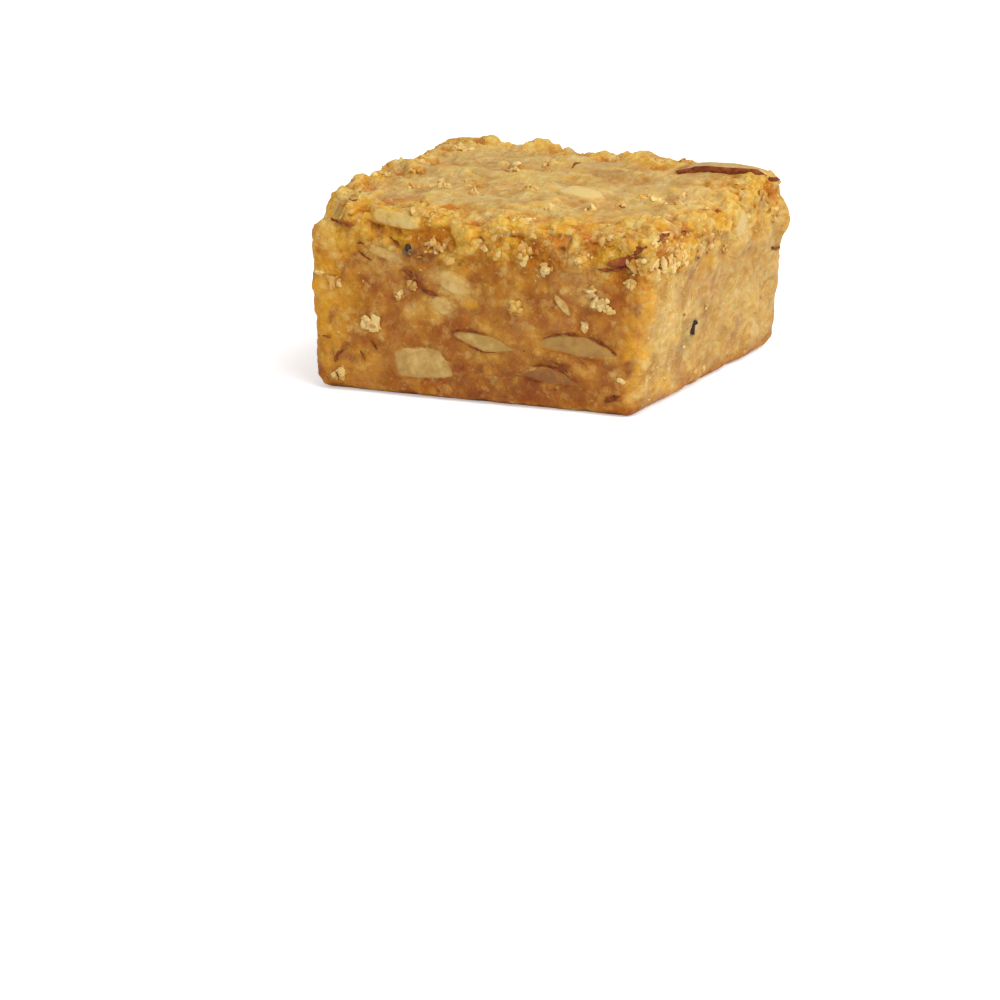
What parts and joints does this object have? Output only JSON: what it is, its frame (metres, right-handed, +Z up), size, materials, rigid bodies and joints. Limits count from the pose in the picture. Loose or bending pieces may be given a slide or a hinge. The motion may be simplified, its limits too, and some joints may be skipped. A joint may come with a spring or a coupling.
{
  "type": "almond barfi square",
  "caption": "Thick hand-cut square of pressed nut fudge with crumbled top edges, flush-cut almond slices and clinging crumbs; lies flat on its base.",
  "frame": {"origin": "middle of the flat base, on the surface that the piece rests on", "axes": "+Z up; the front cut faces -Y, the right cut faces +X, and +X runs along the longer side"},
  "size_m": [0.0471, 0.0456, 0.0244],
  "materials": {
    "fudge": "golden tan pressed nut fudge, granular, slightly moist",
    "almond": "cream blanched almond flesh, smooth cut",
    "almond_skin": "thin red-brown almond skin",
    "crumb": "pale dry crumb of the same fudge",
    "spice": "dark cardamom seed fragments"
  },
  "bodies": {
    "root": {"barfi": "fudge"}
  },
  "joints": []
}
